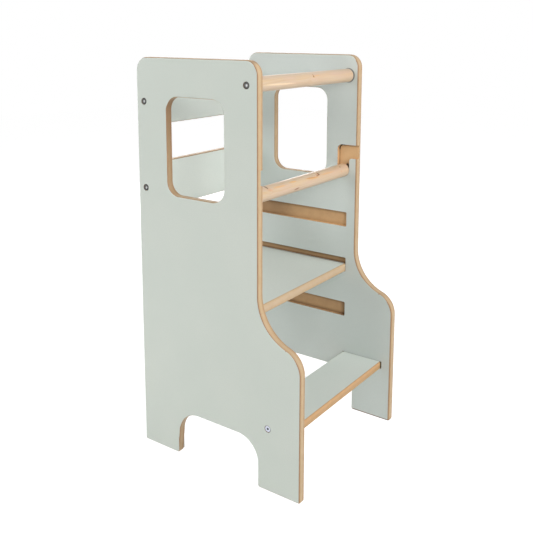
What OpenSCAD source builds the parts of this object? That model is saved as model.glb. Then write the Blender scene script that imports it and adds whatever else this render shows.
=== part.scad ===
// Toddler kitchen helper stool: two side panels joined by a step, two back slats and a top rail.
// A safety bar hangs in two J-slots, and a platform board lies in one of three pairs of grooves.
// Millimetres, +Z up, +X to the right, the step side faces -Y, origin on the floor at the middle.
// Side profiles are drawn flat: first number = distance back from the front edge, second = height.

/* [Overall] */
// Overall height
height = 900; // [860:5:940]
// Overall width over both side panels
width = 424; // [400:2:460]
// Overall depth at the feet
depth = 435; // [425:1:460]
// Thickness of every board but the platform
board_t = 18; // [17:0.5:20]
// Thickness of the coloured laminate on each face of a board
laminate_t = 0.8; // [0.5:0.1:1.2]
// Rounding along the board edges, where the laminate is cut back
edge_r = 4; // [2:0.5:5]

/* [Side panel] */
// Distance from the front of the feet to the front of the narrow upper part
setback = 105; // [95:1:115]
// Radius of the hollow curve
hollow_r = 105; // [95:1:115]
// Radius of the rounded nose below it
nose_r = 53; // [48:1:58]
// Radius of the two top corners
top_r = 30; // [20:1:36]
// Radius of the small corners of the feet
foot_r = 5; // [4:0.5:8]
// Length of the front foot
front_foot_l = 107; // [95:1:115]
// Length of the back foot
back_foot_l = 110; // [95:1:120]
// Height of the arch between the feet
arch_h = 106.5; // [95:0.5:112]
// Radius of the arch corners
arch_r = 53; // [40:1:60]

/* [Window] */
// Width of the upright in front of the window and of the one behind it
post_w = 87.5; // [80:0.5:95]
// Distance of the window below the top of the panel
window_drop = 82.5; // [75:0.5:95]
// Height of the window opening
window_h = 214; // [190:1:220]
// Radius of the window corners
window_r = 30; // [20:1:40]

/* [Pockets] */
// Depth of every pocket milled into the inner faces
pocket_d = 9; // [8:0.5:10]
// Gap between a fixed board and its pocket
housing_gap = 0.3; // [0.2:0.1:0.6]
// Gap in front of the step in its pocket
step_front_gap = 1.5; // [0.5:0.1:2.5]
// Gap between a moving piece and its pocket
running_gap = 0.5; // [0.4:0.1:0.8]

/* [Platform and its grooves] */
// Distance of the grooves' closed front end behind the front of the narrow upper part
groove_inset = 26.2; // [20:0.2:30]
// Height of each groove
groove_h = 36.3; // [33:0.1:40]
// Groove that holds the platform, counted upwards from 0
platform_level = 1; // [0:1:2]
// Radius of the corners at the closed end of each groove
groove_corner_r = 3; // [2:0.5:5]
// Length of the raised lip at the back end of each groove
lip_l = 20; // [15:1:30]
// Air under the platform where it rests on the groove floor
platform_rest_gap = 0.3; // [0.2:0.1:0.4]
// Thickness of the platform board
platform_t = 20.5; // [18:0.5:22]
// Radius of the platform corners
platform_corner_r = 10; // [6:1:15]

/* [Slats and step] */
// Width of the slat and step boards
slat_w = 108; // [98:1:110]
// Distance of the upper slat below the top of the panels
upper_slat_drop = 42; // [36:1:50]
// Distance of the slats from the back edge of the panels
slat_inset = 13; // [10:1:15]
// Distance of the step from the front of the feet
step_u = 26.5; // [24:0.5:32]
// Height of the step's underside above the arch
step_over_arch = 25.9; // [20:0.1:30]

/* [Rails] */
// Diameter of the top rail and of the safety bar
rail_d = 32; // [28:1:34]
// Distance of the top rail's axis behind the front of the narrow upper part
rail_inset = 28.5; // [24:0.5:34]
// Distance of the top rail's axis below the top of the panels
rail_drop = 49.2; // [40:0.2:56]
// Chamfer at the ends of both rails
rail_chamfer = 3; // [2:0.5:4]

/* [J-slots] */
// Distance of the resting safety bar's axis behind the front of the narrow upper part
bar_inset = 38; // [35:0.5:42]
// Height that the bar has to rise before it can leave the slot forwards
bar_lift = 46.6; // [42:0.1:55]
// Radius of the slot's upper back corner
slot_corner_r = 12; // [8:1:15]
// Radius of the slot's inner corner, which the bar passes over
slot_nose_r = 7; // [4:1:9]
// Gap between each end of the safety bar and its slot; under 4.5 the bar stays in both slots
bar_end_gap = 3.5; // [2.5:0.1:4]

/* [Screws] */
// Diameter of the screw heads
head_d = 14.4; // [12:0.2:16]
// Thickness of the screw heads
head_t = 2.6; // [2:0.2:3.4]
// Chamfer at the outer rim of the screw heads
head_chamfer = 0.8; // [0.4:0.2:1]
// Gap round a screw head in its counterbore
head_gap = 0.5; // [0.3:0.1:0.8]
// Depth of a screw head's face below the panel face
head_sink = 0.2; // [0:0.1:0.6]
// Diameter of the screw shanks
shank_d = 7; // [6:0.5:7]
// Gap round a shank in its hole
shank_gap = 0.05; // [0.05:0.05:0.1]
// Length of the screws under the head
shank_l = 50; // [40:1:60]
// Length of the screws' tapered point
point_l = 6; // [4:1:8]
// Width across the flats of the hexagon socket
socket_w = 5; // [4:0.5:5]
// Depth of the hexagon socket
socket_depth = 2; // [1.5:0.1:2.2]

/* [Hidden] */
$fn = 96;
cut_extra = 1;
hex_sides = 6;
hex_flat_turn = 360 / hex_sides / 2;
socket_r = socket_w / 2 / cos(180 / hex_sides);
inner_x = width / 2 - board_t;
pocket_x = inner_x + pocket_d;
board_half_l = pocket_x - housing_gap;
platform_half_l = pocket_x - running_gap;
bar_half_l = pocket_x - bar_end_gap;
// Heights, as shares of the overall height: top of the hollow curve, floors of the grooves,
// lower edge of the lower slat, axis of the resting safety bar
curve_top_share = 0.4711;
groove_shares = [0.2728, 0.4017, 0.5306];
lower_slat_share = 0.62;
bar_share = 0.6881;
curve_top = height * curve_top_share;
curve_sum_r = hollow_r + nose_r;
nose_z = curve_top - sqrt(curve_sum_r * curve_sum_r - pow(curve_sum_r - setback, 2));
arch_back_u = depth - back_foot_l;
window_u = setback + post_w;
window_back_u = depth - post_w;
window_top = height - window_drop;
window_z = window_top - window_h;
top_rail_u = setback + rail_inset;
top_rail_z = height - rail_drop;
bar_u = setback + bar_inset;
bar_z = height * bar_share;
slot_r = rail_d / 2 + running_gap;
slot_front_u = bar_u - slot_r;
slot_back_u = bar_u + slot_r;
slot_top = bar_z + bar_lift + slot_r;
slot_leg_z = slot_top - 2 * slot_r;
groove_u = setback + groove_inset;
lip_h = groove_h - platform_t - 2 * running_gap;
lip_u = depth - lip_l;
slat_back_u = depth - slat_inset;
slat_front_u = slat_back_u - board_t;
upper_slat_z = height - upper_slat_drop - slat_w;
lower_slat_z = height * lower_slat_share;
platform_z = height * groove_shares[platform_level] + platform_rest_gap;
platform_top_z = platform_z + platform_t;
platform_front_u = groove_u + running_gap;
platform_back_u = lip_u - running_gap;
step_back_u = step_u + slat_w;
step_z = arch_h + step_over_arch + board_t;
// Diameter of the screw tip, as a share of the shank
tip_share = 0.5;
head_face_x = width / 2 - head_sink;
head_seat_x = head_face_x - head_t;
tip_x = head_seat_x - shank_l;

// Screw places in the side profile: top rail, upper slat, lower slat, step
RAIL_SCREW = [top_rail_u, top_rail_z];
UPPER_SCREW = [slat_back_u - board_t / 2, upper_slat_z + slat_w / 2];
LOWER_SCREW = [slat_back_u - board_t / 2, lower_slat_z + slat_w / 2];
STEP_SCREW = [step_u + slat_w / 2, step_z - board_t / 2];
SCREWS = [RAIL_SCREW, UPPER_SCREW, LOWER_SCREW, STEP_SCREW];

SAGE = [0.77, 0.80, 0.75];
CORE = [0.83, 0.70, 0.54];
PINE = [0.90, 0.79, 0.66];
ZINC = [0.72, 0.73, 0.76];

// Flat shapes of the side profile

// Rectangle between two corners
module area(u0, v0, u1, v1) {
  translate([u0, v0]) square([u1 - u0, v1 - v0]);
}

module disc(u, v, r) {
  translate([u, v]) circle(r = r);
}

// Rectangle with round corners
module round_area(u0, v0, u1, v1, r) {
  area(u0 + r, v0, u1 - r, v1);
  area(u0, v0 + r, u1, v1 - r);
  for (u = [u0 + r, u1 - r], v = [v0 + r, v1 - r]) disc(u, v, r);
}

// Bottom strip of one foot, with its two small round corners
module sole(u0, u1, g) {
  area(u0 + foot_r, g, u1 - foot_r, foot_r);
  for (u = [u0 + foot_r, u1 - foot_r]) disc(u, foot_r, foot_r - g);
}

module arch_cut(g) {
  area(front_foot_l - g, 0, arch_back_u + g, arch_h - arch_r);
  area(front_foot_l + arch_r, 0, arch_back_u - arch_r, arch_h + g);
  for (u = [front_foot_l + arch_r, arch_back_u - arch_r]) disc(u, arch_h - arch_r, arch_r + g);
}

module window_cut(g) {
  round_area(window_u - g, window_z - g, window_back_u + g, window_top + g, window_r + g);
}

// Straight upper part with its two round top corners
module upper_part(g) {
  area(setback + g, curve_top, depth - g, height - top_r);
  area(setback + top_r, height - top_r, depth - top_r, height - g);
  for (u = [setback + top_r, depth - top_r]) disc(u, height - top_r, top_r - g);
}

// Hollow curve that runs tangentially into the round nose
module curved_part(g) {
  difference() {
    polygon([[setback - hollow_r, curve_top], [nose_r, nose_z], [depth - g, nose_z], [depth - g, curve_top]]);
    disc(setback - hollow_r, curve_top, hollow_r + g);
  }
  disc(nose_r, nose_z, nose_r - g);
}

// Whole panel, drawn smaller by g on every edge
module panel_outline(g) {
  difference() {
    union() {
      upper_part(g);
      curved_part(g);
      area(g, foot_r, depth - g, nose_z);
    }
    arch_cut(g);
    window_cut(g);
  }
  sole(0, front_foot_l, g);
  sole(arch_back_u, depth, g);
}

// Closed in front, and open at the back above a lip that keeps the platform in
module groove(floor_z) {
  round_area(groove_u, floor_z, groove_u + groove_h, floor_z + groove_h, groove_corner_r);
  area(groove_u + groove_corner_r, floor_z, lip_u, floor_z + groove_h);
  area(lip_u - cut_extra, floor_z + lip_h, depth + cut_extra, floor_z + groove_h);
}

// Open at the front edge, then down to the rounded seat of the safety bar
module j_slot() {
  disc(bar_u, bar_z, slot_r);
  area(slot_front_u, bar_z, slot_back_u, slot_top - slot_corner_r);
  area(setback - cut_extra, slot_leg_z, slot_back_u - slot_corner_r, slot_top);
  disc(slot_back_u - slot_corner_r, slot_top - slot_corner_r, slot_corner_r);
  difference() {
    area(slot_front_u - slot_nose_r, slot_leg_z - slot_nose_r, slot_front_u, slot_leg_z);
    disc(slot_front_u - slot_nose_r, slot_leg_z - slot_nose_r, slot_nose_r);
  }
}

module housing(u0, v0, u1, v1, front_gap) {
  area(u0 - front_gap, v0 - housing_gap, u1 + housing_gap, v1 + housing_gap);
}

// Every pocket of one panel's inner face
module pockets() {
  housing(slat_front_u, upper_slat_z, slat_back_u, upper_slat_z + slat_w, housing_gap);
  housing(slat_front_u, lower_slat_z, slat_back_u, lower_slat_z + slat_w, housing_gap);
  housing(step_u, step_z - board_t, step_back_u, step_z, step_front_gap);
  for (share = groove_shares) groove(height * share);
  j_slot();
}

// Solids

// Stands a flat shape upright as a slab between two widths
module slab(x0, x1) {
  translate([x0, -depth / 2, 0]) rotate([90, 0, 90]) linear_extrude(height = x1 - x0) children();
}

// Lays a cylinder along X at a place of the side profile
module rod(x0, x1, place, r0, r1) {
  translate([x0, place[0] - depth / 2, place[1]]) rotate([0, 90, 0]) cylinder(h = x1 - x0, r1 = r0, r2 = r1);
}

// Holes and counterbores of the right panel's four screws
module screw_holes() {
  for (place = SCREWS) {
    rod(inner_x - cut_extra, width / 2 + cut_extra, place, shank_d / 2 + shank_gap, shank_d / 2 + shank_gap);
    rod(head_seat_x, width / 2 + cut_extra, place, head_d / 2 + head_gap, head_d / 2 + head_gap);
  }
}

// Screw bores in both ends of a board or rail
module end_bores(place) {
  for (side = [0, 1]) mirror([side, 0, 0])
    rod(tip_x - cut_extra, board_half_l + cut_extra, place, shank_d / 2 + shank_gap, shank_d / 2 + shank_gap);
}

module right_core_shape() {
  difference() {
    slab(width / 2 - board_t + laminate_t, width / 2 - laminate_t) panel_outline(0);
    slab(inner_x - cut_extra, pocket_x) pockets();
    screw_holes();
  }
}

module right_outer_shape() {
  difference() {
    slab(width / 2 - laminate_t, width / 2) panel_outline(edge_r);
    screw_holes();
  }
}

module right_inner_shape() {
  difference() {
    slab(inner_x, inner_x + laminate_t) difference() {
      panel_outline(edge_r);
      pockets();
    }
    screw_holes();
  }
}

// Upright or flat board across the stool, from profile corner to corner
module cross_board(u0, v0, u1, v1) {
  slab(-board_half_l, board_half_l) area(u0, v0, u1, v1);
}

// Plate with round corners seen from above, drawn smaller by g
module plate(z0, z1, g) {
  half_l = platform_half_l - g;
  translate([0, -depth / 2, z0]) linear_extrude(height = z1 - z0)
    round_area(-half_l, platform_front_u + g, half_l, platform_back_u - g, platform_corner_r - g);
}

module slat_core(z) {
  difference() {
    cross_board(slat_front_u + laminate_t, z, slat_back_u - laminate_t, z + slat_w);
    end_bores([slat_back_u - board_t / 2, z + slat_w / 2]);
  }
}

module slat_laminate(u, z) {
  cross_board(u, z + edge_r, u + laminate_t, z + slat_w - edge_r);
}

module step_laminate(z) {
  cross_board(step_u + edge_r, z, step_back_u - edge_r, z + laminate_t);
}

// Right screw of one place, its head in the panel's outer face
module right_screw_shape(place) {
  difference() {
    union() {
      rod(head_seat_x, head_face_x - head_chamfer, place, head_d / 2, head_d / 2);
      rod(head_face_x - head_chamfer, head_face_x, place, head_d / 2, head_d / 2 - head_chamfer);
      rod(tip_x + point_l, head_seat_x, place, shank_d / 2, shank_d / 2);
      rod(tip_x, tip_x + point_l, place, shank_d / 2 * tip_share, shank_d / 2);
    }
    translate([head_face_x - socket_depth, place[0] - depth / 2, place[1]]) rotate([0, 90, 0])
      rotate(hex_flat_turn) cylinder(h = socket_depth + cut_extra, r = socket_r, $fn = hex_sides);
  }
}

module rail_shape(place, half_l) {
  rod(rail_chamfer - half_l, half_l - rail_chamfer, place, rail_d / 2, rail_d / 2);
  for (side = [0, 1]) mirror([side, 0, 0])
    rod(half_l - rail_chamfer, half_l, place, rail_d / 2, rail_d / 2 - rail_chamfer);
}

// Sub-parts

module right_panel_core() { color(CORE) right_core_shape(); }
module right_panel_outer_laminate() { color(SAGE) right_outer_shape(); }
module right_panel_inner_laminate() { color(SAGE) right_inner_shape(); }
module left_panel_core() { color(CORE) mirror([1, 0, 0]) right_core_shape(); }
module left_panel_outer_laminate() { color(SAGE) mirror([1, 0, 0]) right_outer_shape(); }
module left_panel_inner_laminate() { color(SAGE) mirror([1, 0, 0]) right_inner_shape(); }

module upper_slat_core() { color(CORE) slat_core(upper_slat_z); }
module upper_slat_front_laminate() { color(SAGE) slat_laminate(slat_front_u, upper_slat_z); }
module upper_slat_back_laminate() { color(SAGE) slat_laminate(slat_back_u - laminate_t, upper_slat_z); }
module lower_slat_core() { color(CORE) slat_core(lower_slat_z); }
module lower_slat_front_laminate() { color(SAGE) slat_laminate(slat_front_u, lower_slat_z); }
module lower_slat_back_laminate() { color(SAGE) slat_laminate(slat_back_u - laminate_t, lower_slat_z); }

module step_core() {
  color(CORE) difference() {
    cross_board(step_u, step_z - board_t + laminate_t, step_back_u, step_z - laminate_t);
    end_bores(STEP_SCREW);
  }
}
module step_top_laminate() { color(SAGE) step_laminate(step_z - laminate_t); }
module step_bottom_laminate() { color(SAGE) step_laminate(step_z - board_t); }

module platform_core() { color(CORE) plate(platform_z + laminate_t, platform_top_z - laminate_t, 0); }
module platform_top_laminate() { color(SAGE) plate(platform_top_z - laminate_t, platform_top_z, edge_r); }
module platform_bottom_laminate() { color(SAGE) plate(platform_z, platform_z + laminate_t, edge_r); }

module top_rail() {
  color(PINE) difference() {
    rail_shape([top_rail_u, top_rail_z], inner_x);
    end_bores(RAIL_SCREW);
  }
}
module safety_bar() { color(PINE) rail_shape([bar_u, bar_z], bar_half_l); }

module right_top_rail_screw() { color(ZINC) right_screw_shape(RAIL_SCREW); }
module right_upper_slat_screw() { color(ZINC) right_screw_shape(UPPER_SCREW); }
module right_lower_slat_screw() { color(ZINC) right_screw_shape(LOWER_SCREW); }
module right_step_screw() { color(ZINC) right_screw_shape(STEP_SCREW); }
module left_top_rail_screw() { color(ZINC) mirror([1, 0, 0]) right_screw_shape(RAIL_SCREW); }
module left_upper_slat_screw() { color(ZINC) mirror([1, 0, 0]) right_screw_shape(UPPER_SCREW); }
module left_lower_slat_screw() { color(ZINC) mirror([1, 0, 0]) right_screw_shape(LOWER_SCREW); }
module left_step_screw() { color(ZINC) mirror([1, 0, 0]) right_screw_shape(STEP_SCREW); }

left_panel_core();
left_panel_outer_laminate();
left_panel_inner_laminate();
right_panel_core();
right_panel_outer_laminate();
right_panel_inner_laminate();
upper_slat_core();
upper_slat_front_laminate();
upper_slat_back_laminate();
lower_slat_core();
lower_slat_front_laminate();
lower_slat_back_laminate();
step_core();
step_top_laminate();
step_bottom_laminate();
platform_core();
platform_top_laminate();
platform_bottom_laminate();
top_rail();
safety_bar();
left_top_rail_screw();
left_upper_slat_screw();
left_lower_slat_screw();
left_step_screw();
right_top_rail_screw();
right_upper_slat_screw();
right_lower_slat_screw();
right_step_screw();
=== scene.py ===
"""Looks of the toddler kitchen helper stool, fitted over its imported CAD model.

Metres, +Z up, +X to the right panel, and the step side faces -Y. Side profiles are written in millimetres,
as (distance back from the front of the feet, height).
"""
from functools import partial, reduce
from math import radians

import bmesh
import bpy
import numpy as np
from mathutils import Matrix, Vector
from mathutils.geometry import tessellate_polygon


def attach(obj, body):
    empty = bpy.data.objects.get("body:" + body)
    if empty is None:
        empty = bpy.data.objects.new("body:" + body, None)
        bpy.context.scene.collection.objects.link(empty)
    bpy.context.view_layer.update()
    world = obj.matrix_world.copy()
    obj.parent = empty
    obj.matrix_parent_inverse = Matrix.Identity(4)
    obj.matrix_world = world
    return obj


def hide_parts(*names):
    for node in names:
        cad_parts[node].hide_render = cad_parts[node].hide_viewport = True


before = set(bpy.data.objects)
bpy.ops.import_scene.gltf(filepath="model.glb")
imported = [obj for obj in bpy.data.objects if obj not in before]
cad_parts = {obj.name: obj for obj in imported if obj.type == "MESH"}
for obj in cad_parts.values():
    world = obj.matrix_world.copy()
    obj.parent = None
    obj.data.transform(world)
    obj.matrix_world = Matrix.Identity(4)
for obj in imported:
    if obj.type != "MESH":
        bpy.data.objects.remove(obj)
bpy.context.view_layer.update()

MM = 0.001


def new_object(name, data):
    """Object with this mesh, lamp or camera, linked to the scene."""
    made = bpy.data.objects.new(name, data)
    bpy.context.scene.collection.objects.link(made)
    return made


# Camera at the photograph's viewing angle
PHOTO_WIDTH = 533
FOCAL_LENGTH_IN_PIXELS = 746.30
SENSOR_WIDTH = 36.0
CAMERA_SHIFT, CAMERA_PLACE = (-0.00014, -0.20906), (-1.379886, -0.965483, 0.959756)
CAMERA_TURN = (80.4115, -0.0867, -54.5103)

camera = new_object("camera", bpy.data.cameras.new("camera"))
camera.data.sensor_width = SENSOR_WIDTH
camera.data.lens = FOCAL_LENGTH_IN_PIXELS / PHOTO_WIDTH * SENSOR_WIDTH
camera.data.shift_x, camera.data.shift_y = CAMERA_SHIFT
camera.location = CAMERA_PLACE
camera.rotation_euler = [radians(turn) for turn in CAMERA_TURN]
bpy.context.scene.camera = camera
bpy.context.scene.view_settings.view_transform = "Standard"

# Sizes, in millimetres. U runs back from the front of the feet, and X out from the middle.
PANEL_INNER_X, PANEL_OUTER_X, POCKET_X = 194, 212, 203
PANEL_DEPTH, PANEL_H, UPPER_PART_FRONT_U = 435, 900, 105
HALF_DEPTH = PANEL_DEPTH / 2
FRONT_FOOT_BACK_U, BACK_FOOT_FRONT_U, FOOT_CORNER_R, TOP_CORNER_R = 107, 330, 5, 30
ARCH_FRONT_CENTRE, ARCH_BACK_CENTRE, ARCH_R = (160, 53.5), (272, 53.5), 53
HOLLOW_CENTRE, HOLLOW_R, NOSE_CENTRE, NOSE_R = (0, 423.99), 105, (53, 275.14), 53
HOLLOW_ANGLE = 70.4  # degrees through which the hollow turns, and the nose turns back
WINDOW, WINDOW_R = (192.5, 603.5, 347.5, 817.5), 30
LAMINATE, EDGE_R = 0.8, 4  # thickness, and the rounding of the board edges, where the laminate stops
POCKET_GAP, STEP_FRONT_GAP, SLOT_GAP = 0.3, 1.5, 0.5
PAST_FRONT_U, PAST_BACK_U = 95, 445  # where the cutters leave the board
SLOT_CORNER_R, SLOT_NOSE_R = 12, 7
BOARD_HALF_L = 202.7  # slats and step, from the middle to their ends in the pockets
PLATFORM_HALF_L, RAIL_HALF_L, BAR_HALF_L = 202.5, 194, 199.5
DOWEL_R, DOWEL_CHAMFER = 16, 4.2  # the CAD's chamfer is 3, with sharp corners
SLAT_FRONT_U, SLAT_BACK_U, SLAT_W = 404, 422, 108
UPPER_SLAT_Z, LOWER_SLAT_Z = 750, 558
STEP_FRONT_U, STEP_BACK_U, STEP_Z = 26.5, 134.5, 150.4
STEP_CUT_X, STEP_CUT_R, STEP_CUT_DEPTH = 191.3, 1.2, 3  # the step's front is set back at its ends
STEP_CUT_WALL = 0.02  # width of the steep part of that set-back
PLATFORM_FRONT_U, PLATFORM_BACK_U, PLATFORM_CORNER_R = 131.7, 414.5, 10
PLATFORM_TOP_Z, PLATFORM_T = 382.33, 20.5
BOARD_T = 18
GROOVE_FRONT_U, GROOVE_H, LIP_FRONT_U, LIP_H, GROOVE_CORNER_R = 131.2, 36.3, 415, 14.8, 3
GROOVE_FLOORS = (245.52, 361.53, 477.54)
RAIL_AXIS = (133.5, 850.8)
BAR_AXIS, BAR_LIFT = (143, 619.29), 46.6
SCREWS = {"top_rail": RAIL_AXIS, "upper_slat": (413, 804), "lower_slat": (413, 612), "step": (80.5, 141.4)}
HEAD_FACE_X, HEAD_SEAT_X, SCREW_TIP_X = 211.8, 209.2, 159.2
HEAD_R, HEAD_CHAMFER, COUNTERBORE_R, SHANK_R = 7.2, 0.8, 7.7, 3.5
SOCKET_W, SOCKET_DEPTH = 5, 2
ARC_STEP = 3.0  # degrees between points on an arc
SUPPORT = 0.4  # from an arc's end to the point that ends its smooth shading


# Shapes
def arc(centre, radius, start, end, hollow=False):
    """Arc in a flat profile: centre plus radius times (cosine, sine) of an angle that runs evenly from
    start to end degrees. Its outward direction points from the centre, or towards it on a hollow arc."""
    steps = max(int(np.ceil(abs(end - start) / ARC_STEP)), 3)
    angle = np.radians(np.linspace(start, end, steps + 1))
    ray = np.stack([np.cos(angle), np.sin(angle)], 1)
    return np.array(centre, float) + radius * ray, -ray if hollow else ray


def loop_of(*arcs):
    """Closed loop of arcs joined by straight lines. A support point lies just past each end of an arc, on the
    line, with the line's own outward direction."""
    points, outward = [], []
    for k, (p, n) in enumerate(arcs):
        following, _ = arcs[(k + 1) % len(arcs)]
        line = following[0] - p[-1]
        length = np.hypot(*line)
        points.append(p)
        outward.append(n)
        if length > 3 * SUPPORT:
            step = line / length * SUPPORT
            points.append(np.array([p[-1] + step, following[0] - step]))
            outward.append(np.array([n[-1], n[-1]]))
    points, outward = np.concatenate(points), np.concatenate(outward)
    apart = np.hypot(*(points - np.roll(points, 1, 0)).T) > 1e-6
    return points[apart], outward[apart]


def rectangle(u0, v0, u1, v1):
    """Its four corners, counter-clockwise from (u0, v0)."""
    return np.array([(u0, v0), (u1, v0), (u1, v1), (u0, v1)])


def round_rectangle(u0, v0, u1, v1, r, hollow=False):
    """Rectangle with a quarter circle at each corner, counter-clockwise from (u1, v1)."""
    return loop_of(arc((u1 - r, v1 - r), r, 0, 90, hollow), arc((u0 + r, v1 - r), r, 90, 180, hollow),
                   arc((u0 + r, v0 + r), r, 180, 270, hollow), arc((u1 - r, v0 + r), r, 270, 360, hollow))


def panel_outline():
    """Side panel: two feet with an arch between them, a round nose in front that a hollow curve leads up
    from, and a straight upper part with round top corners."""
    foot, top = FOOT_CORNER_R, TOP_CORNER_R
    return loop_of(
        arc((PANEL_DEPTH - foot, foot), foot, 270, 360), arc((PANEL_DEPTH - top, PANEL_H - top), top, 0, 90),
        arc((UPPER_PART_FRONT_U + top, PANEL_H - top), top, 90, 180),
        arc(HOLLOW_CENTRE, HOLLOW_R, 0, -HOLLOW_ANGLE, hollow=True),
        arc(NOSE_CENTRE, NOSE_R, 180 - HOLLOW_ANGLE, 180),
        arc((foot, foot), foot, 180, 270), arc((FRONT_FOOT_BACK_U - foot, foot), foot, 270, 360),
        arc(ARCH_FRONT_CENTRE, ARCH_R, 180, 90, hollow=True),
        arc(ARCH_BACK_CENTRE, ARCH_R, 90, 0, hollow=True),
        arc((BACK_FOOT_FRONT_U + foot, foot), foot, 180, 270))


def rounded_edge(low, high):
    """Edge of a board as (distance in from the edge, place across the board): under the first laminate, a
    quarter circle, straight, a quarter circle, and under the second laminate."""
    a, r = np.radians(np.linspace(90, 0, 9)), EDGE_R
    first = np.stack([r - r * np.cos(a), low + r - r * np.sin(a)], 1)
    second = np.stack([r - r * np.cos(a[::-1]), high - r + r * np.sin(a[::-1])], 1)
    return np.concatenate([[[r, low + LAMINATE]], first, [[0, low + r + SUPPORT]],
                           [[0, high - r - SUPPORT]], second, [[r, high - LAMINATE]]])


def swept_edge(loop, outward, profile):
    """Board edge: the profile carried along the loop. Point (i, j) is loop point i, moved inwards by the
    profile's distance j, and its third number is the profile's place across the board."""
    flat = loop[:, None, :] - outward[:, None, :] * profile[None, :, :1]
    across = np.broadcast_to(profile[None, :, 1:], flat.shape[:2] + (1,))
    return np.concatenate([flat, across], 2)


def grid_quads(rows, columns, around_rows=False, around_columns=False):
    """Quads between neighbours on a grid whose point (i, j) is number i * columns + j."""
    i = np.arange(rows if around_rows else rows - 1)
    j = np.arange(columns if around_columns else columns - 1)
    i, j = np.meshgrid(i, j, indexing="ij")
    row, next_row, next_j = i * columns, (i + 1) % rows * columns, (j + 1) % columns
    return np.stack([row + j, next_row + j, next_row + next_j, row + next_j], -1).reshape(-1, 4)


def new_piece(name, points, faces, material):
    """Mesh object from points in millimetres and lists of point numbers, with its normals turned outwards."""
    mesh = bpy.data.meshes.new(name)
    mesh.from_pydata((np.asarray(points, float) * MM).tolist(), [], [list(map(int, f)) for f in faces])
    work = bmesh.new()
    work.from_mesh(mesh)
    bmesh.ops.remove_doubles(work, verts=work.verts, dist=1e-7)
    bmesh.ops.recalc_face_normals(work, faces=work.faces)
    work.to_mesh(mesh)
    work.free()
    mesh.materials.append(material)
    shade(mesh)
    return new_object(name, mesh)


def shade(mesh):
    """Smooth shading that stops at edges sharper than 30 degrees."""
    mesh.polygons.foreach_set("use_smooth", np.ones(len(mesh.polygons), bool))
    mesh.set_sharp_from_angle(angle=radians(30))
    mesh.update()


def side_place(u, v, x):
    """Place in the room of the side profile's point (u, v) at x: (x, u less half the depth, v)."""
    u, v, x = np.broadcast_arrays(u, v, x)
    return np.stack([x, u - HALF_DEPTH, v], -1)


def prism(loop, x0, x1):
    """Straight-sided solid: the points of a flat loop of the side profile, at x0 and again at x1, and the
    faces that join them."""
    n = len(loop)
    points = np.concatenate([side_place(loop[:, 0], loop[:, 1], x0), side_place(loop[:, 0], loop[:, 1], x1)])
    i = np.arange(n)
    walls = np.stack([i, (i + 1) % n, (i + 1) % n + n, i + n], 1)
    return points, [list(range(n)), list(range(n, 2 * n))] + walls.tolist()


def several(parts):
    """Points and faces of several solids as one set."""
    points, faces, start = [], [], 0
    for p, f in parts:
        points.append(p)
        faces += [[start + k for k in face] for face in f]
        start += len(p)
    return np.concatenate(points), faces


def pocket_loops():
    """Outlines of what is milled into a panel's inner face: two slat pockets, the step's pocket, three
    grooves and the safety bar's slot. The open ones run out past the board's edge."""
    gap = POCKET_GAP
    loops = [rectangle(SLAT_FRONT_U - gap, z - gap, SLAT_BACK_U + gap, z + SLAT_W + gap)
             for z in (UPPER_SLAT_Z, LOWER_SLAT_Z)]
    loops.append(rectangle(STEP_FRONT_U - STEP_FRONT_GAP, STEP_Z - BOARD_T - gap,
                           STEP_BACK_U + gap, STEP_Z + gap))
    r = GROOVE_CORNER_R
    for floor in GROOVE_FLOORS:
        low, _ = arc((GROOVE_FRONT_U + r, floor + r), r, 180, 270)
        high, _ = arc((GROOVE_FRONT_U + r, floor + GROOVE_H - r), r, 90, 180)
        lip = [(LIP_FRONT_U, floor), (LIP_FRONT_U, floor + LIP_H), (PAST_BACK_U, floor + LIP_H),
               (PAST_BACK_U, floor + GROOVE_H)]
        loops.append(np.concatenate([low, lip, high]))
    (u, v), r = BAR_AXIS, DOWEL_R + SLOT_GAP
    corner, nose = SLOT_CORNER_R, SLOT_NOSE_R
    top = v + BAR_LIFT + r
    leg = top - 2 * r
    loops.append(np.concatenate([
        arc((u, v), r, 180, 360)[0], arc((u + r - corner, top - corner), corner, 0, 90)[0],
        [(PAST_FRONT_U, top), (PAST_FRONT_U, leg)], arc((u - r - nose, leg - nose), nose, 90, 0)[0]]))
    return loops


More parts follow.
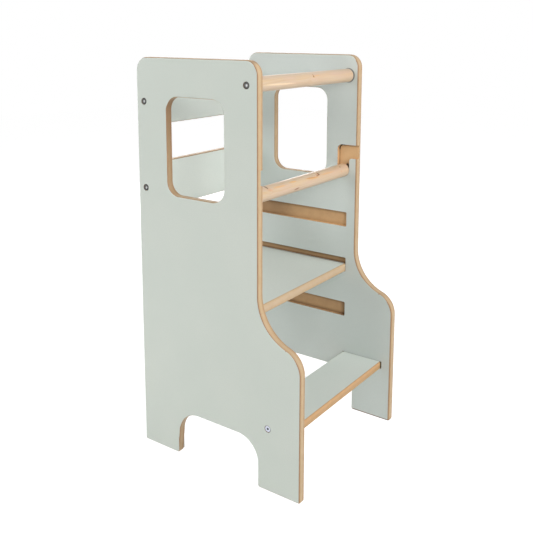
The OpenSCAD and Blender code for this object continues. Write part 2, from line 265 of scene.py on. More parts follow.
def panel_board(side, edge_material, pocket_material):
    """Side panel's board: its rounded edge carried round the outline and round the window, closed by flat
    faces under the laminates, with the pockets and the counterbores milled out. The left one is the right
    one mirrored."""
    profile = rounded_edge(PANEL_INNER_X, PANEL_OUTER_X)
    points, faces, rings = [], [], []
    start, columns = 0, len(profile)
    for loop, outward in (panel_outline(), round_rectangle(*WINDOW, WINDOW_R, hollow=True)):
        band = swept_edge(loop, outward, profile)
        points.append(side_place(band[..., 0], band[..., 1], band[..., 2]).reshape(-1, 3))
        faces.append(grid_quads(len(loop), columns, around_rows=True) + start)
        rings.append(start + np.arange(len(loop)) * columns)
        start += len(loop) * columns
    points, faces = np.concatenate(points), np.concatenate(faces).tolist()
    for column in (0, columns - 1):
        numbers = [ring + column for ring in rings]
        flat = [[Vector((points[k, 1], points[k, 2], 0)) for k in ring] for ring in numbers]
        numbers = np.concatenate(numbers)
        faces += [numbers[list(triangle)].tolist() for triangle in tessellate_polygon(flat)]
    board = new_piece(side + "_panel_board", points, faces, edge_material)
    circle = arc((0, 0), COUNTERBORE_R, 0, 360)[0][:-1]
    tools = [prism(loop, PANEL_INNER_X - 1, POCKET_X) for loop in pocket_loops()]
    tools += [prism(circle + place, HEAD_SEAT_X, PANEL_OUTER_X + 1) for place in SCREWS.values()]
    cutter = new_piece(side + "_panel_cutter", *several(tools), pocket_material)
    cut = board.modifiers.new("pockets", "BOOLEAN")
    cut.operation, cut.solver, cut.object, cut.material_mode = "DIFFERENCE", "EXACT", cutter, "TRANSFER"
    bpy.context.view_layer.update()
    mesh = bpy.data.meshes.new_from_object(board.evaluated_get(bpy.context.evaluated_depsgraph_get()))
    board.modifiers.clear()
    board.data = mesh
    bpy.data.objects.remove(cutter)
    if side == "left":
        places = np.empty(len(mesh.vertices) * 3, np.float32)
        mesh.vertices.foreach_get("co", places)
        places[0::3] *= -1
        mesh.vertices.foreach_set("co", places)
        mesh.flip_normals()
    shade(mesh)
    return board


def cross_board(name, across, along, laminate_faces, material, cut_x=None):
    """Slat or step: its cross-section carried from end to end of the pockets. The section has four rounded
    corners, and lies lower by the laminate's thickness where the laminates cover it.
    across and along are the (low, high) limits through the board's thickness and over its width;
    laminate_faces is "u" where the thickness runs front to back, and "v" where it runs upwards. At cut_x
    the front edge turns back by STEP_CUT_DEPTH, after a quarter circle: set back = r - r cos a at x = cut_x
    - r + r sin a."""
    half, inset = np.array([BOARD_HALF_L]), np.zeros(1)
    if cut_x:
        a, r = np.radians(np.linspace(0, 90, 7)), STEP_CUT_R
        half = np.concatenate([cut_x - r + r * np.sin(a), [cut_x + STEP_CUT_WALL, BOARD_HALF_L]])
        inset = np.concatenate([r - r * np.cos(a), [STEP_CUT_DEPTH, STEP_CUT_DEPTH]])
    x = np.concatenate([-half[::-1], half])
    inset = np.concatenate([inset[::-1], inset])
    edge = rounded_edge(*across)
    n = len(edge)
    thickness = np.broadcast_to(np.concatenate([edge[:, 1], edge[::-1, 1]]), (len(x), 2 * n))
    low = along[0] + np.maximum(edge[None, :, 0], inset[:, None])
    high = np.broadcast_to(along[1] - edge[::-1, 0], (len(x), n))
    width = np.concatenate([low, high], 1)
    u, v = (width, thickness) if laminate_faces == "v" else (thickness, width)
    grid = side_place(u, v, x[:, None]).reshape(-1, 3)
    last = (len(x) - 1) * 2 * n
    faces = grid_quads(len(x), 2 * n, around_columns=True).tolist()
    faces += [list(range(2 * n)), list(range(last, last + 2 * n))]
    return new_piece(name, grid, faces, material)


def platform_board(name, material):
    """Platform: its rounded edge carried round a rectangle with round corners, seen from above, and closed by
    flat faces under the laminates."""
    profile = rounded_edge(PLATFORM_TOP_Z - PLATFORM_T, PLATFORM_TOP_Z)
    loop, outward = round_rectangle(-PLATFORM_HALF_L, PLATFORM_FRONT_U - HALF_DEPTH, PLATFORM_HALF_L,
                                    PLATFORM_BACK_U - HALF_DEPTH, PLATFORM_CORNER_R)
    band = swept_edge(loop, outward, profile)
    rows, columns = band.shape[:2]
    ring = np.arange(rows) * columns
    faces = grid_quads(rows, columns, around_rows=True).tolist()
    faces += [ring.tolist(), (ring + columns - 1).tolist()]
    return new_piece(name, band.reshape(-1, 3), faces, material)


def turned(name, stations, place, side, material, corners=96):
    """Turned piece along X, whose axis is a place in the side profile: point (i, j) lies at the i-th
    station's x and at its radius from the axis, in direction j. A station is (x, radius), or (x, half the
    width across flats, True) for a hexagon. The first and last rings close on one point each."""
    angle = np.linspace(0, 2 * np.pi, corners, endpoint=False)
    hexagon = 1 / np.cos((angle + np.pi / 6) % (np.pi / 3) - np.pi / 6)
    x = np.array([s[0] for s in stations], float)
    radius = np.array([s[1] * (hexagon if len(s) > 2 else np.ones(corners)) for s in stations])
    grid = np.stack([np.broadcast_to(x[:, None] * side, radius.shape),
                     place[0] - HALF_DEPTH + radius * np.cos(angle), place[1] + radius * np.sin(angle)], -1)
    rows = len(stations)
    faces = grid_quads(rows, corners, around_columns=True).tolist()
    points = grid.reshape(-1, 3).tolist()
    j = np.arange(corners)
    for ring in (0, rows - 1):
        middle = np.full(corners, len(points))
        points.append([x[ring] * side, place[0] - HALF_DEPTH, place[1]])
        faces += np.stack([ring * corners + j, ring * corners + (j + 1) % corners, middle], 1).tolist()
    return new_piece(name, points, faces, material)


def dowel_stations(half_l):
    """Dowel's profile as (x, radius): flat end, chamfer with soft corners, long side, and all of it
    mirrored."""
    r, c, soft = DOWEL_R, DOWEL_CHAMFER, 0.6
    end = [(half_l, r - c - 6), (half_l, r - c - soft), (half_l - soft * 0.3, r - c - soft * 0.3),
           (half_l - soft, r - c + soft), (half_l - c + soft, r - soft),
           (half_l - c - soft * 0.3, r - soft * 0.15), (half_l - c - soft, r)]
    right = end + [(x, r) for x in np.linspace(half_l - c - 2, 0, 40)[:-1]]
    return right + [(0, r)] + [(-x, radius) for x, radius in right[::-1]]


def screw_stations():
    """Screw's profile as (x, radius): the socket's floor and wall, face, chamfer, head, shank and point."""
    socket, face, floor = SOCKET_W / 2, HEAD_FACE_X, HEAD_FACE_X - SOCKET_DEPTH
    flat, edge = HEAD_R - HEAD_CHAMFER, face - HEAD_CHAMFER
    return [(floor, socket * 0.5, True), (floor, socket * 0.96, True), (floor + 0.1, socket, True),
            (face - 0.25, socket, True), (face - 0.08, socket + 0.08, True), (face, socket + 0.3, True),
            (face, flat - 0.1), (face - 0.06, flat + 0.05), (edge, HEAD_R - 0.06), (edge - 0.15, HEAD_R),
            (HEAD_SEAT_X + 0.05, HEAD_R), (HEAD_SEAT_X, HEAD_R - 0.05),
            (HEAD_SEAT_X, SHANK_R), (SCREW_TIP_X + 6, SHANK_R), (SCREW_TIP_X, 0.9)]


# Colours
def tone(red, green, blue):
    """Colour as a screen shows it, 0 to 255, turned into the linear light that a shader works in."""
    c = np.array([red, green, blue]) / 255
    linear = np.where(c <= 0.04045, c / 12.92, ((c + 0.055) / 1.055) ** 2.4)
    return (*[float(v) for v in linear], 1)


SAGE_COOL, SAGE_WARM, SAGE_LOW = tone(203, 210, 202), tone(206, 212, 204), tone(199, 206, 198)
# A painted cool tint for the laminates, standing in for cooler light
SAGE_PAINTED_COOL = tone(206, 213, 226)
TAN, TAN_DARK = tone(189, 164, 129), tone(158, 118, 80)  # edges of the panels and the slats
STEP_TAN, STEP_TAN_DARK = tone(196, 153, 108), tone(172, 138, 90)
PLATFORM_TAN, PLATFORM_TAN_DARK = tone(196, 172, 142), tone(182, 152, 115)
# The last two are painted shade: on the left panel's opening walls, and a contact shadow on the right panel's
# soles
CORE_LINE, SHADED_EDGE, SOLE_SHADOW = tone(134, 98, 66), tone(128, 92, 58), tone(86, 56, 34)
# The last is painted light on the slot's bottom and the upper groove's walls
MILLED_LIGHT, MILLED_DARK, MILLED_PAINTED_LIGHT = tone(212, 172, 126), tone(150, 108, 70), tone(236, 196, 146)
# Painted shade in the grooves, and deep painted shade in the slot's corner
GROOVE_SHADE, DEEP_SHADE = tone(96, 66, 40), tone(40, 34, 24)
# Painted shade in gaps and pockets, and the paler, browner shade where it fades
GAP_SHADE, GAP_HALF_SHADE = tone(62, 60, 54), tone(124, 112, 94)
PINE_EARLY, PINE_LATE, PINE_STREAK = tone(199, 176, 149), tone(191, 154, 113), tone(184, 149, 113)
# The last is a painted highlight for the dowels' chamfers
PINE_BLUSH, PINE_GOLD, PINE_END_HIGHLIGHT = tone(200, 168, 145), tone(201, 171, 129), tone(228, 206, 172)
KNOT, BARK, BROWN = tone(92, 50, 22), tone(134, 82, 44), tone(160, 102, 54)
ORANGE, PALE, RED = tone(212, 162, 98), tone(236, 212, 176), tone(206, 140, 104)
# Screw heads as painted reflections and shade: the upper screws a dark rim and face round a bright socket,
# the step's a grey rim, a bright bluish face and a shaded socket
ZINC_PAINTED_DARK_FACE = (tone(70, 70, 68), tone(84, 84, 82), tone(225, 226, 226))  # rim, face and socket
ZINC_PAINTED_BRIGHT_FACE = (tone(150, 152, 155), tone(205, 208, 222), tone(60, 70, 58))
FLOOR_FOR_LIGHT, FLOOR_FOR_CAMERA = tone(238, 238, 236), tone(140, 140, 140)
WHITE = (1, 1, 1, 1)

# Where the colours change. A range is (low, high) or (low, high, strength at low, strength at high).
# Places and distances are in metres. A facing is a share of the surface's normal, from -1 to 1.
# Board edges: STOP is the facing along the board's thickness below which the laminate gives way to the
# board. The larger it is, the less of the rounding wears the laminate.
STOP, STOP_LEFT, STOP_RIGHT, STOP_INSIDE, STOP_AWAY = 0.99, 0.96, 1.02, 0.86, 0.70
STOP_BLUR, LINE_FACING = (-0.012, 0.012), (0.66, 0.80)
FACES_BACK, FACES_DOWN, FACES_UP = (-0.3, 0.3), (-0.5, -0.1, 1, 0), (0.5, 0.95, 0, 0.45)
# These two place the painted shade on the left panel's opening walls
FACES_FORWARDS, SHADE_BY_HEIGHT = (-0.6, 0, 1, 0), (0.6, 0.8, 0.25, 0.68)
TO_THE_RIGHT, IN_OPENINGS = (-0.1, 0.1), (-0.105, -0.095)   # along X and Y
# The last of these places the painted contact shadow on the right panel's soles, in metres up from the floor
OFF_THE_FLOOR, LEFT_FOOT, SOLE_SHADOW_REACH = (0.004, 0.006), 0.35, (0.0028, 0.0040, 0.9, 0)
# The third of these moves the panels' lightest edge line towards their left faces, as painted light
LINE_LEFT, LINE_RIGHT, PAINTED_LIGHT_SHIFT = 0.85, 0.35, 0.13
POCKET_SHADE, POCKET_HALF_SHADE = (-0.2, 0.1), (1.5, 4.5)     # painted shade on the step's ends: millimetres from the pocket, and from the underside
SIDES_DARK, MOTTLE_DARK = (0.04, 0.46, 0, 0.62), (0.3, 0.75, -0.05, 0.16)
FIBRES_DARK, SPECKS_DARK = (0.35, 0.7, -0.06, 0.12), (0.62, 0.75, 0, 0.2)
# Milled pockets, with painted shade in the grooves and the slot, and painted light on some of their walls and
# floors
FLAT_BOTTOM = (0.4, 0.6)
OVER_GROOVES = (0.30, 0.45, 0.53)  # a height over each groove
GROOVE_TOP, GROOVE_TOP_LINE = (0.025, 0.0363, 0, 0.34), (0.0325, 0.0355, 0, 0.34)
GROOVE_BOTTOM, BESIDE_PLATFORM = (0, 0.010, 1, 0), (0.3835, 0.3865, 0.4, 0)
BOTTOM_SHADE, GROOVE_SHADE_ALL_OVER = (0.34, 0.08), (0.27, 0.08)  # in the lower two grooves and the upper one
GROOVE_BACK, LOWER_GROOVE_FRONT = (0.045, 0.135, 0, 0.38), (-0.086, -0.066, 0.45, 0)
SLOT_FROM, SLOT_TOP, SLOT_BACK = (0.58, 0.60), (0.6755, 0.682, 0, 0.55), (-0.0635, -0.059, 0, 0.45)
SLOT_PAINTED_LIGHT, UPPER_WALLS_PAINTED_LIGHT = 0.35, 0.8
# Painted shade along the slot's upper back corner, and a painted shadow on a spot beside the safety bar
CORNER_SHADE_FROM, CORNER_SHADE_TO = (0.0078, 0.0098, 0, 0.98), (0.016, 0.018, 1, 0)
SHADED_CORNER = (147.5, 670.4)    # millimetres, and so are the painted shade's limits as seen from there
CORNER_SHADE_U, CORNER_SHADE_Z = (-8, -2), (-4, 1)
BAR_SHADOW_SPOT, BAR_SHADOW_HALF, BAR_SHADOW_FADE = (135.5, 628.5), (5.5, 8.5), (0.55, 1.15, 0.93, 0)
# Laminates: a painted cool tint, and painted shade round the top rail's ends and along the side panels
SAGE_CHANGES, SAGE_LOWS = (0.35, 0.65), (0.35, 0.7, 0, 0.5)
CUT_WALL, INNER_FACE = (0.6, 0.75, 1, 0), (0.2005, 0.2015, 1, 0)
# The first two place painted shade round the top rail's ends and along the side panels, the last two set the
# painted cool tint's strength
RAIL_GAP_SHADE, PANEL_GAP_SHADE, PAINTED_COOL, PAINTED_COOL_INSIDE = (0.0168, 0.0180, 0.8, 0), (0.1932, 0.1936, 0, 0.5), 0.08, 0.17
# Pine, with a painted highlight on the dowels' chamfers
RINGS_PER_METRE, RING_WANDER, LATEWOOD = 330, (0.25, 0.75, -1.3, 1.3), 0.42
RING_DARKENS, RING_ENDS, END_BLUR, END_HIGHLIGHT = (0.35, 0.86), (0.90, 1, 1, 0), 0.0004, 0.75
STREAKS, BLUSHES, GOLDS = (0.35, 0.75, 0, 0.35), (0.42, 0.66, 0, 0.6), (0.46, 0.64, 0, 0.45)
MARK_ROUGH, MARK_SPOT, MARK_PUSH = (0.3, 0.7, -0.22, 0.22), (0.45, 1.1, 1, 0), (0, 4, 1, 0)
MARK_RIM, MARK_LOOP = 0.95, (0.05, 0.28, 1, 0)
# Screws
TURNING_MARKS, SOCKET_REACH, RIM_REACH = 26000, (0.0022, 0.0031), (0.0055, 0.0068)
# Roughness, and depth of each material's relief
EDGE_ROUGHNESS, SAGE_ROUGHNESS, MILLED_ROUGHNESS = (0.3, 0.7, 0.42, 0.55), (0.3, 0.7, 0.46, 0.56), 0.75
PINE_ROUGHNESS, ZINC_ROUGHNESS = (0.3, 0.7, 0.38, 0.5), (0.3, 0.7, 0.32, 0.46)
EDGE_RELIEF, MILLED_RELIEF, LAMINATE_RELIEF, PINE_RELIEF, ZINC_RELIEF = 5e-5, 1e-4, 3e-5, 8e-5, 8e-6


# Materials
class Sheet:
    """A node tree with short ways to add nodes and join them."""

    def __init__(self, tree):
        self.tree = tree

    def put(self, value, socket):
        """Joins an output socket to an input socket, or sets the input to a value."""
        if isinstance(value, bpy.types.NodeSocket):
            self.tree.links.new(value, socket)
        else:
            socket.default_value = value

    def add(self, kind, inputs=None, **settings):
        """New node; inputs maps an input's name or number to a value or to an output socket."""
        node = self.tree.nodes.new(kind)
        for key, value in settings.items():
            setattr(node, key, value)
        for key, value in (inputs or {}).items():
            self.put(value, node.inputs[key])
        return node

    def use(self, tree, inputs):
        """Outputs of a shader group that gets these inputs."""
        return self.add("ShaderNodeGroup", inputs, node_tree=tree).outputs

    def math(self, operation, a, b=0, clamp=False):
        return self.add("ShaderNodeMath", {0: a, 1: b}, operation=operation, use_clamp=clamp).outputs[0]

    def plus(self, *values):
        return reduce(partial(self.math, "ADD"), values)

    def times(self, *values):
        return reduce(partial(self.math, "MULTIPLY"), values)

    def most(self, a, b, clamp=False):
        return self.math("MAXIMUM", a, b, clamp)

    def absolute(self, value):
        return self.math("ABSOLUTE", value)

    def opposite(self, share):
        return self.math("SUBTRACT", 1, share)

    def mix(self, share, a, b):
        """Colour that goes from a to b as the share goes from 0 to 1."""
        return self.add("ShaderNodeMix", {0: share, 6: a, 7: b}, data_type="RGBA").outputs[2]

    def span(self, value, low, high, to_low=0, to_high=1, smooth=True):
        """Turns low to high into to_low to to_high, held at both ends."""
        return self.add("ShaderNodeMapRange", {0: value, 1: low, 2: high, 3: to_low, 4: to_high},
                        interpolation_type="SMOOTHSTEP" if smooth else "LINEAR").outputs[0]

    def blend(self, share, a, b):
        """Number that goes from a to b as the share goes from 0 to 1."""
        return self.span(share, 0, 1, a, b, smooth=False)

    def stretch(self, vector, scale, location=(0, 0, 0)):
        """Multiplies a pattern's coordinates by scale and moves them by location."""
        mapping = self.add("ShaderNodeMapping", {"Vector": vector, "Location": location, "Scale": scale})
        return mapping.outputs[0]

    def noise(self, vector, scale, detail=3, roughness=0.5, location=(0, 0, 0)):
        """Noise whose scale is one number, or one for each axis."""
        if isinstance(scale, tuple):
            vector, scale = self.stretch(vector, scale, location), 1
        return self.add("ShaderNodeTexNoise", {"Vector": vector, "Scale": scale, "Detail": detail,
                                               "Roughness": roughness}).outputs[0]

    def split(self, vector):
        return self.add("ShaderNodeSeparateXYZ", {0: vector}).outputs

    def length(self, vector):
        return self.add("ShaderNodeVectorMath", {0: vector}, operation="LENGTH").outputs["Value"]

    def distance(self, place, point, half_sizes=(1000, 1000)):
        """Distance from a point of the side profile, in metres, or in an oval's half sizes."""
        (u, v), (half_u, half_v) = point, half_sizes
        return self.length(self.stretch(place, (0, 1 / (half_u * MM), 1 / (half_v * MM)),
                                        (0, (HALF_DEPTH - u) / half_u, -v / half_v)))

    def give(self, *values):
        """Sends values out of a shader group, in the order of its outputs."""
        for value, socket in zip(values, self.way_out):
            self.put(value, socket)


FLOAT, VECTOR, COLOUR = "NodeSocketFloat", "NodeSocketVector", "NodeSocketColor"
SURFACE = {"Color": COLOUR, "Roughness": FLOAT, "Height": FLOAT}


def group_of(name, inputs, outputs):
    """Empty shader group with named sockets: its sheet, and the outputs of its input node."""
    tree = bpy.data.node_groups.new(name, "ShaderNodeTree")
    for direction, sockets in (("INPUT", inputs), ("OUTPUT", outputs)):
        for socket, kind in sockets.items():
            tree.interface.new_socket(socket, in_out=direction, socket_type=kind)
    sheet = Sheet(tree)
    sheet.way_out = sheet.add("NodeGroupOutput").inputs
    return sheet, sheet.add("NodeGroupInput").outputs


def fibre_group():
    """Colour and relief of a lacquered fibreboard edge: lightest along Middle, darker and redder towards
    both faces, with fine fibres and slow mottling. Across runs from 0 at one face to 1 at the other."""
    sheet, given = group_of("fibreboard edge", {"Across": FLOAT, "Place": VECTOR, "Light": COLOUR,
                                                "Dark": COLOUR, "Middle": FLOAT}, SURFACE)
    off_middle = sheet.absolute(sheet.math("SUBTRACT", given["Across"], given["Middle"]))
    fibres = sheet.noise(given["Place"], scale=900, detail=4, roughness=0.6)
    mottle = sheet.noise(given["Place"], scale=55, detail=4, roughness=0.6)
    speck = sheet.noise(given["Place"], scale=1500, detail=2)
    dark = sheet.plus(sheet.span(off_middle, *SIDES_DARK), sheet.span(mottle, *MOTTLE_DARK, smooth=False),
                      sheet.span(fibres, *FIBRES_DARK, smooth=False))
    dark = sheet.math("ADD", dark, sheet.span(speck, *SPECKS_DARK), clamp=True)
    sheet.give(sheet.mix(dark, given["Light"], given["Dark"]), sheet.span(mottle, *EDGE_ROUGHNESS),
               sheet.plus(fibres, sheet.times(speck, 0.5)))
    return sheet.tree


def sage_group():
    """Matt sage face: a faintly pebbled skin with very slow changes of tone."""
    sheet, given = group_of("sage face", {"Place": VECTOR}, SURFACE)
    slow = sheet.noise(given["Place"], scale=6, detail=2)
    fine = sheet.noise(given["Place"], scale=420, detail=3, roughness=0.55)
    pebbles = sheet.noise(given["Place"], scale=1400, detail=2)
    face = sheet.mix(sheet.span(slow, *SAGE_CHANGES), SAGE_COOL, SAGE_WARM)
    sheet.give(sheet.mix(sheet.span(fine, *SAGE_LOWS), face, SAGE_LOW), sheet.span(fine, *SAGE_ROUGHNESS),
               sheet.plus(pebbles, fine))
    return sheet.tree


def rim_group():
    """Where a board's rounded edge still wears the laminate. Facing is the share of the normal along the
    board's thickness, and Stop the share below which the board shows. Sage is 1 where the coloured skin
    runs on round the edge, and Line is 1 on the laminate's thin dark core below it."""
    sheet, given = group_of("laminate rim", {"Facing": FLOAT, "Stop": FLOAT}, {"Sage": FLOAT, "Line": FLOAT})
    skin = sheet.span(sheet.math("SUBTRACT", given["Facing"], given["Stop"]), *STOP_BLUR)
    sheet.give(skin, sheet.times(sheet.span(given["Facing"], *LINE_FACING), sheet.opposite(skin)))
    return sheet.tree


def empty_sheet(owner):
    """Emptied node tree of a material or a world."""
    owner.use_nodes = True
    owner.node_tree.nodes.clear()
    return Sheet(owner.node_tree)


def new_material(name):
    """A material, its empty sheet, and the object's own coordinates and normal."""
    material = bpy.data.materials.new(name)
    sheet = empty_sheet(material)
    coordinates = sheet.add("ShaderNodeTexCoord").outputs
    return material, sheet, coordinates["Object"], coordinates["Normal"]


def finish_surface(sheet, colour, roughness, height, depth, others=None):
    """Surface of a material, with a relief of this depth in metres and the shader's other inputs."""
    bump = sheet.add("ShaderNodeBump", {"Height": height, "Strength": 1, "Distance": depth})
    shader = sheet.add("ShaderNodeBsdfPrincipled", {"Base Color": colour, "Roughness": roughness,
                                                    "Normal": bump.outputs[0], **(others or {})})
    sheet.add("ShaderNodeOutputMaterial", {0: shader.outputs[0]})


def edge_material(name, groups, axis, low, high, light, dark, line, lightest=0.5, dark_from=None):
    """Lacquered fibreboard edge of a board whose thickness runs along an axis, from low to high
    millimetres. line is the strength of the dark core line where the laminate stops, and lightest the share
    of the thickness at which the board is lightest, which on the panels shifts towards their left faces as
    painted light from that side. Beyond dark_from millimetres from the stool's middle the edge is painted
    dark, as the shade inside its pocket.
    The laminate runs farthest round edges that face back or down, and less far round those that face up. On
    the panels it also runs farther in the window and the arch than in front, and farther on the left panel
    than on the right one. The walls that face forwards in the left panel's openings carry painted shade, and
    the right panel's soles a painted contact shadow."""
    material, sheet, place, normal = new_material(name)
    at, normal = sheet.split(place), sheet.split(normal)
    panel = axis == "X"
    through, middle = at[axis], lightest
    if panel:
        through = sheet.absolute(through)
        # The lightest line moves towards the left faces, as painted light from that side
        middle = sheet.math("SUBTRACT", lightest, sheet.times(sheet.math("SIGN", at["X"]), PAINTED_LIGHT_SHIFT))
    fibre = sheet.use(groups["fibre"], {"Across": sheet.span(through, low * MM, high * MM, smooth=False),
                                        "Place": place, "Light": light, "Dark": dark, "Middle": middle})
    sage = sheet.use(groups["sage"], {"Place": place})
    facing = sheet.absolute(normal[axis])
    sideways = sheet.math("SQRT", sheet.most(sheet.opposite(sheet.math("POWER", facing, 2.0)), 1e-5))
    upwards = sheet.math("DIVIDE", normal["Z"], sideways)
    backwards = sheet.math("DIVIDE", normal["Y"], sideways)
    away, stop = 0, STOP
    if axis != "Y":
        away = sheet.span(backwards, *FACES_BACK)
    if axis != "Z":
        away = sheet.most(sheet.most(away, sheet.span(upwards, *FACES_DOWN)), sheet.span(upwards, *FACES_UP))
    if panel:
        right, inside = sheet.span(at["X"], *TO_THE_RIGHT), sheet.span(at["Y"], *IN_OPENINGS)
        off_floor = sheet.most(sheet.blend(right, LEFT_FOOT, 0), sheet.span(at["Z"], *OFF_THE_FLOOR))
        away = sheet.times(away, off_floor)
        stop = sheet.blend(inside, sheet.blend(right, STOP_LEFT, STOP_RIGHT), STOP_INSIDE)
        line = sheet.blend(right, LINE_LEFT * line, LINE_RIGHT * line)
    rim = sheet.use(groups["rim"], {"Facing": facing, "Stop": sheet.blend(away, stop, STOP_AWAY)})
    wood = sheet.mix(sheet.times(rim["Line"], line), fibre["Color"], CORE_LINE)
    if panel:
        # Painted shade on the walls that face forwards in the left panel's window and arch
        shaded = sheet.times(sheet.span(backwards, *FACES_FORWARDS), inside, sheet.opposite(right),
                             sheet.span(at["Z"], *SHADE_BY_HEIGHT))
        wood = sheet.mix(shaded, wood, SHADED_EDGE)
        # Painted contact shadow along the right panel's soles
        wood = sheet.mix(sheet.times(sheet.span(at["Z"], *SOLE_SHADOW_REACH), right), wood, SOLE_SHADOW)
    colour = sheet.mix(rim["Sage"], wood, sage["Color"])
    if dark_from:
        # Painted shade on the step's ends inside their pockets, darkest at the bottom
        in_pocket = sheet.span(sheet.absolute(at["X"]), *[(dark_from + x) * MM for x in POCKET_SHADE])
        brown = sheet.span(at["Z"], *[(low + z) * MM for z in POCKET_HALF_SHADE])
        colour = sheet.mix(in_pocket, colour, sheet.mix(brown, GAP_SHADE, GAP_HALF_SHADE))
    finish_surface(sheet, colour, fibre["Roughness"], fibre["Height"], EDGE_RELIEF)
    return material


def milled_material(groups):
    """Bare fibreboard in the milled pockets, browner and rougher than the lacquered edge. The grooves carry
    painted shade all over, most in the lower two, and more along their top and bottom corners and beside
    the platform, the upper one also towards the back, and the lower one at its front end. The slot has
    painted shade in its upper back corner, and a painted shadow on a spot beside the safety bar. The slot's
    flat bottom and the upper groove's narrow walls are paler, as painted light."""
    material, sheet, place, normal = new_material("milled fibreboard")
    fibre = sheet.use(groups["fibre"], {"Across": 0.5, "Middle": 0.5, "Place": place,
                                        "Light": MILLED_LIGHT, "Dark": MILLED_DARK})
    at = sheet.split(place)
    flat = sheet.span(sheet.absolute(sheet.split(normal)["X"]), *FLAT_BOTTOM)
    over_lower, over_middle, over_upper = [sheet.span(at["Z"], z, z + 0.01) for z in OVER_GROOVES]
    level = sheet.math("SUBTRACT", at["Z"], GROOVE_FLOORS[0] * MM)
    level = sheet.math("MODULO", level, (GROOVE_FLOORS[1] - GROOVE_FLOORS[0]) * MM)
    # Painted shade in the grooves
    bottom = sheet.times(sheet.span(level, *GROOVE_BOTTOM), sheet.blend(over_middle, *BOTTOM_SHADE))
    beside_platform = sheet.times(sheet.span(at["Z"], *BESIDE_PLATFORM), over_lower)
    corners = sheet.plus(sheet.span(level, *GROOVE_TOP), sheet.span(level, *GROOVE_TOP_LINE),
                         sheet.most(bottom, beside_platform))
    shadow = sheet.plus(sheet.times(corners, flat), sheet.blend(over_middle, *GROOVE_SHADE_ALL_OVER),
                        sheet.times(sheet.span(at["Y"], *LOWER_GROOVE_FRONT), sheet.opposite(over_lower)),
                        sheet.times(sheet.span(at["Y"], *GROOVE_BACK), over_middle))
    in_grooves = sheet.opposite(over_upper)
    in_slot = sheet.times(sheet.span(at["Z"], *SLOT_FROM), flat)
    # Painted shade in the slot's upper back corner
    slot_corner = sheet.plus(sheet.span(at["Z"], *SLOT_TOP), sheet.span(at["Y"], *SLOT_BACK))
    shadow = sheet.most(sheet.times(shadow, in_grooves), sheet.times(slot_corner, in_slot), clamp=True)
    # Painted light on the upper groove's narrow walls and the slot's flat bottom
    pale = sheet.times(sheet.opposite(flat), over_middle, in_grooves, UPPER_WALLS_PAINTED_LIGHT)
    pale = sheet.most(sheet.times(in_slot, SLOT_PAINTED_LIGHT), pale)
    colour = sheet.mix(shadow, sheet.mix(pale, fibre["Color"], MILLED_PAINTED_LIGHT), GROOVE_SHADE)
    # Deeper painted shade along the slot's upper back corner
    from_corner = sheet.distance(place, SHADED_CORNER)
    u, v = SHADED_CORNER
    corner_shade = sheet.times(sheet.span(from_corner, *CORNER_SHADE_FROM), sheet.span(from_corner, *CORNER_SHADE_TO), flat,
                         sheet.span(at["Y"], *[(u + du - HALF_DEPTH) * MM for du in CORNER_SHADE_U]),
                         sheet.span(at["Z"], *[(v + dv) * MM for dv in CORNER_SHADE_Z]))
    # A painted shadow on a spot beside the safety bar
    mark = sheet.span(sheet.distance(place, BAR_SHADOW_SPOT, BAR_SHADOW_HALF), *BAR_SHADOW_FADE)
    colour = sheet.mix(mark, sheet.mix(corner_shade, colour, DEEP_SHADE), DEEP_SHADE)
    finish_surface(sheet, colour, MILLED_ROUGHNESS, fibre["Height"], MILLED_RELIEF)
    return material


def laminate_material(name, groups, axis):
    """Matt sage laminate of a board whose thickness runs along an axis. Its cut walls, which don't face
    along it, show the brown core line. The panels' inner faces carry a painted cool tint, standing in for
    cooler light, and the other boards' laminates a little of it. A thin ring of painted shade runs round
    the top rail's ends on the panels' inner faces, and on the step and the platform a line of painted shade
    runs along the side panels."""
    material, sheet, place, normal = new_material(name)
    sage = sheet.use(groups["sage"], {"Place": place})
    cut = sheet.span(sheet.absolute(sheet.split(normal)[axis]), *CUT_WALL)
    colour = sheet.mix(cut, sage["Color"], CORE_LINE)
    # A painted cool tint: a little on every laminate, more on the panels' inner faces, none on their outer
    # faces
    outwards, cool = sheet.absolute(sheet.split(place)["X"]), PAINTED_COOL
    if axis == "X":
        inner = sheet.span(outwards, *INNER_FACE)
        # A ring of painted shade round the top rail's ends
        gap = sheet.times(sheet.span(sheet.distance(place, RAIL_AXIS), *RAIL_GAP_SHADE), inner)
        colour, cool = sheet.mix(gap, colour, GAP_SHADE), sheet.times(inner, PAINTED_COOL_INSIDE)
    if axis == "Z":
        # A line of painted shade along the side panels
        colour = sheet.mix(sheet.span(outwards, *PANEL_GAP_SHADE), colour, GAP_SHADE)
    colour = sheet.mix(cool, colour, SAGE_PAINTED_COOL)
    finish_surface(sheet, colour, sage["Roughness"], sage["Height"], LAMINATE_RELIEF,
                   {"Specular IOR Level": 0.4})
    return material


